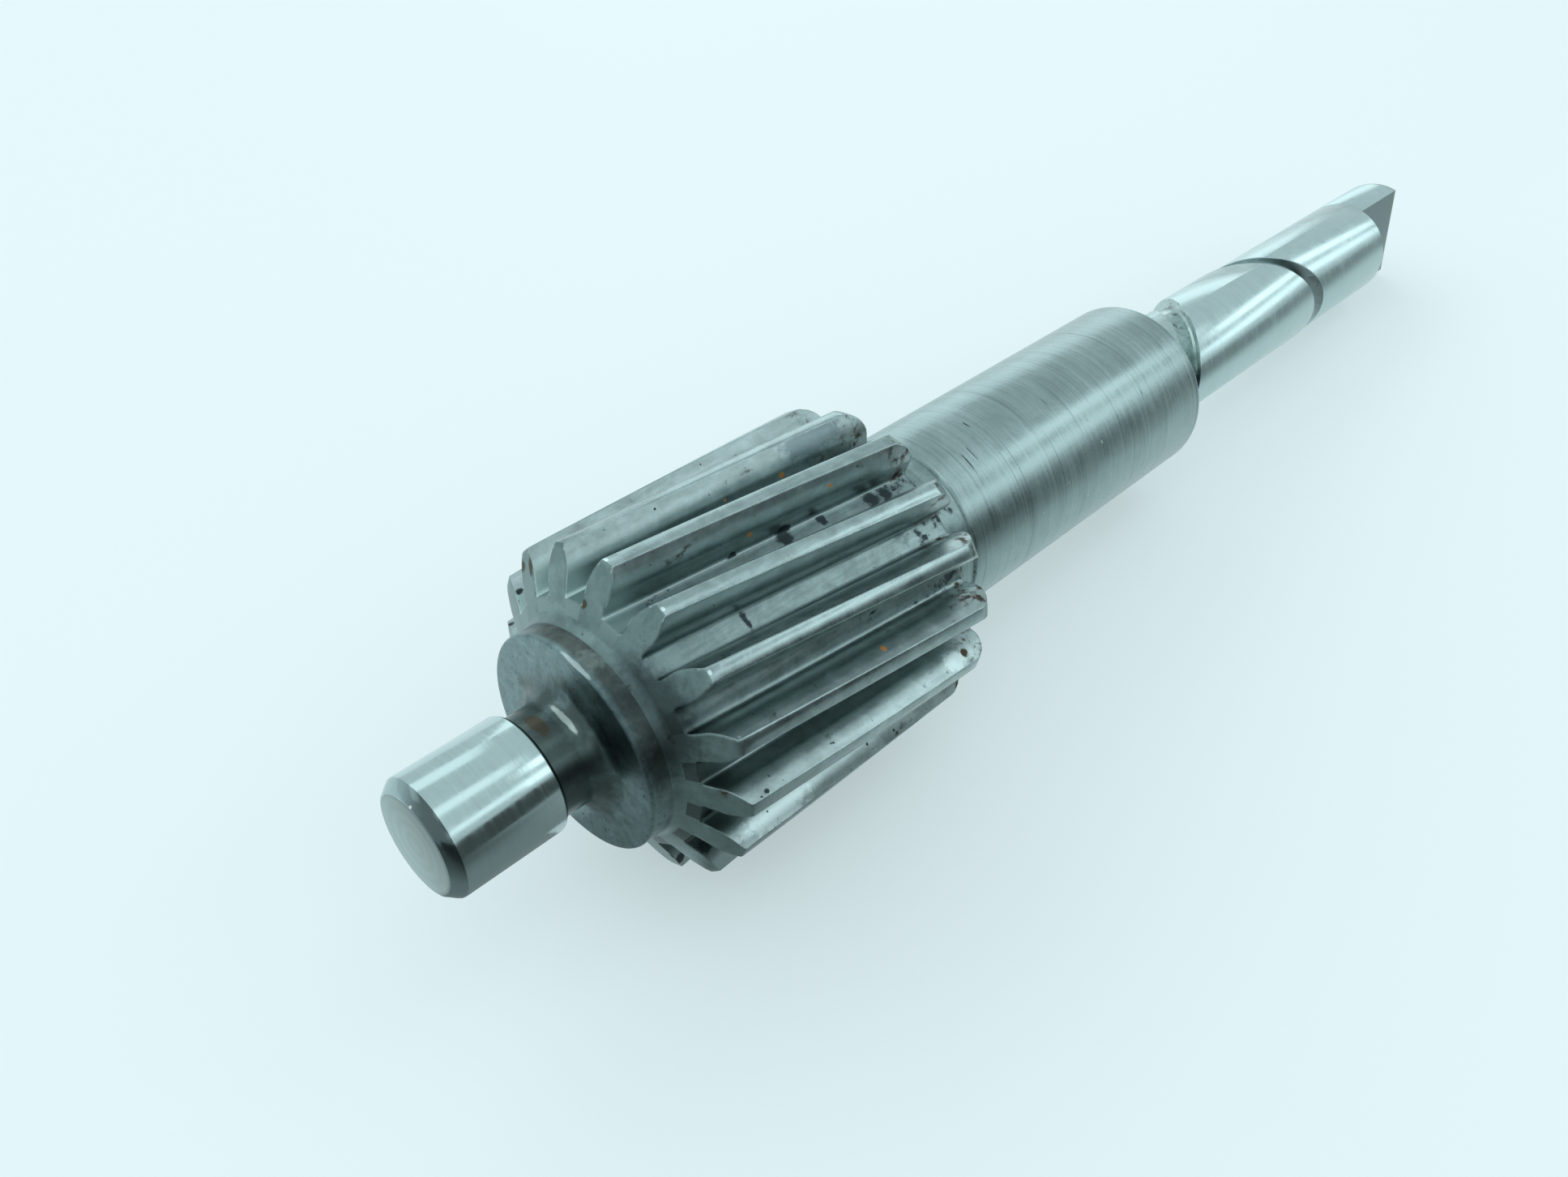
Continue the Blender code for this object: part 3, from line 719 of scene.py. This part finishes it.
RELIEF_STEP_SHADE = ((32.75, 74.5, 5.61, (0.35, 1.2, 0.5)), (32.9, 87.0, 5.61, (0.3, 0.9, 0.5)))
relief = surface(RELIEF, "relief_steel", (0.27, 0.35, 0.345), 0.34)
turned_lines(relief, 0.30, 0.005)
mottled(relief, 0.40, 1.0)
relief.stain(relief.patches((1.4, 0.7, 0.7), 0.58, 0.70, 6.0), BLACK_OIL_AND_SHADE, 0.42)
# Painted shade: dark marks on the near side of the step up to the journal.
marked(relief, RELIEF_STEP_SHADE, BLACK_OIL_AND_SHADE)

DARK_SCRATCHES = ((34.73, 26.7, 5.61, (0.05, 0.75, 0.3)), (35.4, 23.0, 5.61, (0.04, 0.5, 0.3)),
                  (36.9, 6.0, 5.61, (0.06, 0.35, 0.3)))
JOURNAL_NICKS = ((44.97, 59.9, 5.61, (0.04, 0.12, 0.1)), (39.18, 84.9, 5.61, (0.04, 0.04, 0.1)),
                 (38.6, 78.0, 5.61, (0.04, 0.04, 0.1)), (41.2, 70.0, 5.61, (0.04, 0.04, 0.1)),
                 (37.6, 44.0, 5.61, (0.04, 0.04, 0.1)), (43.2, 88.0, 5.61, (0.04, 0.07, 0.1)))
journal = surface(JOURNAL, "journal_steel", (0.335, 0.42, 0.415), 0.27)
turned_lines(journal, 0.26, 0.004, 0.30, 0.35)
dark_rings = journal.patches((3.2, 0.04, 0.04), 0.58, 0.72, 31.0, 3.0)
journal.stain(journal.math("MULTIPLY", dark_rings, 0.45), DULL_OIL_AND_SHADE)
mottled(journal, 0.16, 0.45)
journal.stain(journal.patches((4.0, 0.35, 0.35), 0.64, 0.76, 15.0), DULL_OIL_AND_SHADE, 0.42)
marked(journal, DARK_SCRATCHES, DULL_OIL_AND_SHADE, 0.42)
marked(journal, JOURNAL_NICKS, PALE, 0.6, 0.2)


# Tail. Behind a thin neck comes a ground pin. Its shoulder and its narrow groove are cut aslant, leaning
# opposite ways, and the half-moon tongue milled on its end turns the speedometer's cable.
TAIL_NECK_RADIUS = 3.45
TAIL_NECK_FILLET = 0.30
UNDERCUT_RADIUS = 3.15
UNDERCUT_LENGTH = 1.70
TAIL_RADIUS = 3.72
TAIL_END_RADIUS = 3.60
SHOULDER_DISTANCE = 6.05
SHOULDER_LEAN = -math.tan(math.radians(37.2))
GROOVE_DISTANCE = 17.00
GROOVE_WIDTH = 1.20
GROOVE_DEEP = 0.90
GROOVE_SHALLOW = 0.10
GROOVE_LEAN = math.tan(math.radians(43.0))
TAIL_LENGTH = 31.30
TONGUE_LENGTH = 6.00
TONGUE_FLAT = 1.38
TONGUE_CLOCK = 82.5
TAIL_EDGE = 0.08
shoulder = journal_end + SHOULDER_DISTANCE
groove = journal_end + GROOVE_DISTANCE
tongue_start = journal_end + TAIL_LENGTH
tongue_end = tongue_start + TONGUE_LENGTH
station(journal_end, TAIL_NECK_RADIUS + TAIL_NECK_FILLET, TAIL_NECK)
station(journal_end + TAIL_EDGE, TAIL_NECK_RADIUS + TAIL_EDGE, TAIL_NECK)
station(journal_end + TAIL_NECK_FILLET, TAIL_NECK_RADIUS, TAIL_NECK)
undercut_start = shoulder - UNDERCUT_LENGTH
station(undercut_start - TAIL_EDGE, TAIL_NECK_RADIUS, TAIL_NECK, SHOULDER_LEAN)
station(undercut_start, TAIL_NECK_RADIUS - 0.5 * TAIL_EDGE, UNDERCUT, SHOULDER_LEAN)
station(undercut_start + TAIL_EDGE, UNDERCUT_RADIUS + TAIL_EDGE, UNDERCUT, SHOULDER_LEAN)
station(undercut_start + 3 * TAIL_EDGE, UNDERCUT_RADIUS, UNDERCUT, SHOULDER_LEAN)
station(shoulder - 2 * TAIL_EDGE, UNDERCUT_RADIUS, UNDERCUT, SHOULDER_LEAN)
station(shoulder, UNDERCUT_RADIUS + 2 * TAIL_EDGE, UNDERCUT, SHOULDER_LEAN)
station(shoulder, TAIL_RADIUS - TAIL_EDGE, UNDERCUT, SHOULDER_LEAN)
station(shoulder + 0.3 * TAIL_EDGE, TAIL_RADIUS - 0.3 * TAIL_EDGE, GROUND, SHOULDER_LEAN)
station(shoulder + TAIL_EDGE, TAIL_RADIUS, GROUND, SHOULDER_LEAN)
groove_half = GROOVE_WIDTH * math.sqrt(1 + GROOVE_LEAN ** 2) / 2
groove_bottom = TAIL_RADIUS - (GROOVE_DEEP + GROOVE_SHALLOW) / 2
groove_aside = (GROOVE_DEEP - GROOVE_SHALLOW) / 2
station(groove - groove_half - TAIL_EDGE, TAIL_RADIUS, GROUND, GROOVE_LEAN)
station(groove - groove_half, TAIL_RADIUS - 0.5 * TAIL_EDGE, SLOT, GROOVE_LEAN)
station(groove - groove_half, groove_bottom, SLOT, GROOVE_LEAN, groove_aside)
station(groove + groove_half, groove_bottom, SLOT, GROOVE_LEAN, groove_aside)
station(groove + groove_half, TAIL_END_RADIUS - 0.5 * TAIL_EDGE, SLOT, GROOVE_LEAN)
station(groove + groove_half + TAIL_EDGE, TAIL_END_RADIUS, GROUND, GROOVE_LEAN)
station(tongue_start - TAIL_EDGE, TAIL_END_RADIUS, GROUND)
station(tongue_start, TAIL_END_RADIUS - 0.4 * TAIL_EDGE, TONGUE)
station(tongue_start, TAIL_END_RADIUS - 0.4 * TAIL_EDGE, TONGUE, flat=TONGUE_FLAT)
station(tongue_start + TAIL_EDGE, TAIL_END_RADIUS, TONGUE, flat=TONGUE_FLAT)
station(tongue_end - TAIL_EDGE, TAIL_END_RADIUS, TONGUE, flat=TONGUE_FLAT)
station(tongue_end, TAIL_END_RADIUS - TAIL_EDGE, TONGUE, flat=TONGUE_FLAT - TAIL_EDGE)

tail_neck = surface(TAIL_NECK, "tail_neck", (0.50, 0.62, 0.61), 0.30)
turned_lines(tail_neck, 0.15, 0.003)
mottled(tail_neck, 0.22)

SHADED_EDGE = (0.07, 0.10, 0.14)
undercut = surface(UNDERCUT, "tail_undercut", (0.50, 0.60, 0.58), 0.30)
mottled(undercut, 0.35, 1.5)
undercut.stain(undercut.patches((1.0, 1.0, 1.0), 0.56, 0.70), BROWN_OIL, 0.35)
undercut.stain(undercut.ramp(undercut.towards(85), 3.0, 3.7), SHADED_EDGE, 0.3)

slot = surface(SLOT, "tail_groove", (0.50, 0.60, 0.60), 0.34)
mottled(slot, 0.3)
# Painted shade: the groove is painted darker towards the near side.
slot.shade(slot.ramp(slot.towards(60), 1.8, 3.0), -0.50)

FLAT_STEEL = (0.17, 0.22, 0.225)
TONGUE_TIP = (0.36, 0.38, 0.33)
tongue = surface(TONGUE, "tongue_steel", GROUND_STEEL, 0.22)
mottled(tongue, 0.08, 0.8)
flat_side = tongue.ramp(tongue.towards(TONGUE_CLOCK), 1.34, 1.375)
tongue.stain(flat_side, FLAT_STEEL, 0.30)
tongue.stain(tongue.ramp(tongue.along, 92.75, 93.02), TONGUE_TIP, 0.35)


# Tooth strip. The shaft is alike sixteen times round, so it starts as one tooth's width of the whole
# shaft, a strip of faces from end to end, with its finish kept in each face.
TINY = 1e-6
EDGE_REACH = 1e-3
strip = bmesh.new()
finish_layer = strip.faces.layers.int.new("finish")
station_layer = strip.verts.layers.int.new("station")
grain = strip.loops.layers.uv.new("grain")


def ring_radius(ring, column):
    return min(stations[ring][1], section[column][1])


grid = []
for ring, (x, *_) in enumerate(stations):
    row = []
    for column, (angle, *_) in enumerate(section):
        r = ring_radius(ring, column)
        vert = strip.verts.new((x, -r * math.sin(angle), r * math.cos(angle)))
        vert[station_layer] = ring
        row.append(vert)
    grid.append(row)


def on_blank(ring, column):
    """Whether the blank's outline, not the tooth's section, shapes this point."""
    return section[column][1] > stations[ring][1] - TINY


def on_edge(ring, column):
    """Whether the tooth's section meets the blank's outline at this point."""
    return abs(section[column][1] - stations[ring][1]) < EDGE_REACH


def add_face(corners, ring, column):
    face = strip.faces.new([grid[r][c] for r, c in corners])
    toothed = max(stations[ring][1], stations[ring + 1][1]) > root_radius + TINY
    turned = all(on_blank(r, c) for r, c in corners)
    face[finish_layer] = stations[ring][2] if turned or not toothed else column_finish[column]
    face.smooth = True
    for loop, (r, c) in zip(face.loops, corners):
        loop[grain].uv = (stations[r][0] * MM, section[c][0] * stations[r][1] * MM)


for ring in range(len(stations) - 1):
    for column in range(len(section) - 1):
        a, b = (ring, column), (ring, column + 1)
        c, d = (ring + 1, column + 1), (ring + 1, column)
        if on_edge(*a) and on_edge(*c) and not (on_edge(*b) and on_edge(*d)):
            add_face((a, b, c), ring, column)
            add_face((a, c, d), ring, column)
        elif on_edge(*b) and on_edge(*d) and not (on_edge(*a) and on_edge(*c)):
            add_face((a, b, d), ring, column)
            add_face((b, c, d), ring, column)
        else:
            add_face((a, b, c, d), ring, column)
strip_mesh = bpy.data.meshes.new("tooth_strip")
strip.to_mesh(strip_mesh)
strip.free()
pinion = bpy.data.objects.new("pinion", strip_mesh)
scene.collection.objects.link(pinion)


# Winding. The hob cuts one gap after another while the blank turns, so the sixteen gaps are alike and
# each winds round the axis. The tree sets the strip sixteen times, welds the copies, winds them between
# the helix's two ends and gives each face the material of its finish.
WELD_DISTANCE = 0.002
tree = bpy.data.node_groups.new("hobbed_shaft", "GeometryNodeTree")
tree.interface.new_socket("Geometry", in_out="INPUT", socket_type="NodeSocketGeometry")
tree.interface.new_socket("Geometry", in_out="OUTPUT", socket_type="NodeSocketGeometry")
for name, kind in (("Teeth", "Int"), ("Turn per mm", "Float"), ("Helix start", "Float"),
                   ("Helix end", "Float"), ("Phase place", "Float"), ("Weld distance", "Float")):
    tree.interface.new_socket(name, in_out="INPUT", socket_type="NodeSocket" + kind)


def geometry_node(kind, inputs=(), **settings):
    made = tree.nodes.new(kind)
    for name, value in settings.items():
        setattr(made, name, value)
    for name, value in dict(inputs).items():
        socket = made.inputs[name]
        if isinstance(value, bpy.types.NodeSocket):
            tree.links.new(value, socket)
        else:
            socket.default_value = value
    return made.outputs


def calculate(operation, first, second=0.0):
    return geometry_node("ShaderNodeMath", {0: first, 1: second}, operation=operation)[0]


given = geometry_node("NodeGroupInput")
points = geometry_node("GeometryNodePoints", {"Count": given["Teeth"]})[0]
share = calculate("DIVIDE", 2 * math.pi, given["Teeth"])
clock = calculate("MULTIPLY", share, geometry_node("GeometryNodeInputIndex")[0])
turned = geometry_node("FunctionNodeAxisAngleToRotation", {"Axis": (1, 0, 0), "Angle": clock})[0]
copies = geometry_node("GeometryNodeInstanceOnPoints", {"Points": points, "Instance": given["Geometry"],
                                                        "Rotation": turned})[0]
solid = geometry_node("GeometryNodeRealizeInstances", {"Geometry": copies})[0]
solid = geometry_node("GeometryNodeMergeByDistance", {"Geometry": solid,
                                                      "Distance": given["Weld distance"]})[0]
position = geometry_node("GeometryNodeInputPosition")[0]
along = geometry_node("ShaderNodeSeparateXYZ", {0: position})[0]
held = geometry_node("ShaderNodeClamp", {"Value": along, "Min": given["Helix start"],
                                         "Max": given["Helix end"]})[0]
wind = calculate("MULTIPLY", calculate("SUBTRACT", held, given["Phase place"]), given["Turn per mm"])
wound = geometry_node("ShaderNodeVectorRotate", {"Vector": position, "Angle": wind},
                      rotation_type="X_AXIS")[0]
solid = geometry_node("GeometryNodeSetPosition", {"Geometry": solid, "Position": wound})[0]
label = geometry_node("GeometryNodeInputNamedAttribute", {"Name": "finish"}, data_type="INT")[0]
for finish, made in finishes.items():
    chosen = tree.nodes.new("FunctionNodeCompare")
    chosen.data_type = "INT"
    chosen.operation = "EQUAL"
    ints = [socket for socket in chosen.inputs if socket.type == "INT"]
    tree.links.new(label, ints[0])
    ints[1].default_value = finish
    solid = geometry_node("GeometryNodeSetMaterial", {"Geometry": solid, "Selection": chosen.outputs[0],
                                                      "Material": made.finish()})[0]
end = tree.nodes.new("NodeGroupOutput")
tree.links.new(solid, end.inputs[0])

winding = pinion.modifiers.new("hobbing", "NODES")
winding.node_group = tree
sizes = {"Teeth": TOOTH_COUNT, "Turn per mm": turn_per_mm, "Helix start": gap_start,
         "Helix end": teeth_end, "Phase place": land_end, "Weld distance": WELD_DISTANCE}
for item in tree.interface.items_tree:
    if item.in_out == "INPUT" and item.name in sizes:
        winding[item.identifier] = sizes[item.name]
graph = bpy.context.evaluated_depsgraph_get()
wound_mesh = bpy.data.meshes.new_from_object(pinion.evaluated_get(graph))
pinion.modifiers.clear()
pinion.data = wound_mesh


# Slants, groove and tongue. The shoulder and the groove are cut across the tail at a slant, and the
# tongue's flat is milled off. So every point of a ring moves by the ring's lean, and the flat cuts it.
# The two open ends get a face each, and each point keeps its place on the shaft for the patterns.
body = bmesh.new()
body.from_mesh(wound_mesh)
layer = body.verts.layers.int["station"]
flat_turn = math.radians(TONGUE_CLOCK)
flat_way = Vector((0, -math.sin(flat_turn), math.cos(flat_turn)))
for vert in body.verts:
    lean, aside, flat = stations[vert[layer]][3:]
    if flat is not None:
        over = max(0.0, vert.co @ flat_way - flat)
        vert.co -= over * flat_way
    vert.co.y += aside
    vert.co.x -= lean * vert.co.y
ends = [edge for edge in body.edges if edge.is_boundary]
bmesh.ops.holes_fill(body, edges=ends, sides=0)
bmesh.ops.recalc_face_normals(body, faces=body.faces)
body.to_mesh(wound_mesh)
body.free()
places = np.empty(len(wound_mesh.vertices) * 3, dtype=np.float32)
wound_mesh.vertices.foreach_get("co", places)
wound_mesh.attributes.new("shaft", "FLOAT_VECTOR", "POINT").data.foreach_set("vector", places)


# Resting place. The loose gear lies on the rear of its teeth and the end of its tail. The record's thrust
# face says where the hub's face lies and which way the axis dips.
THRUST_MARK_Y = -4.3
SHARP_ANGLE = math.radians(35)
thrust = next(m for m in frame["record"]["mounts"] if m["name"] == "hub_thrust_face")
dip = math.atan2(thrust["axis"][2], -thrust["axis"][0])
turn = Matrix.Rotation(dip, 4, "Y")
mark = turn @ (Vector((hub_face, THRUST_MARK_Y, 0)) * MM)
place = Matrix.Translation(Vector(thrust["pos_m"]) - mark) @ turn @ Matrix.Scale(MM, 4)
wound_mesh.transform(place)
wound_mesh.set_sharp_from_angle(angle=SHARP_ANGLE)
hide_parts("speedometer_pinion")
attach(pinion, "root")
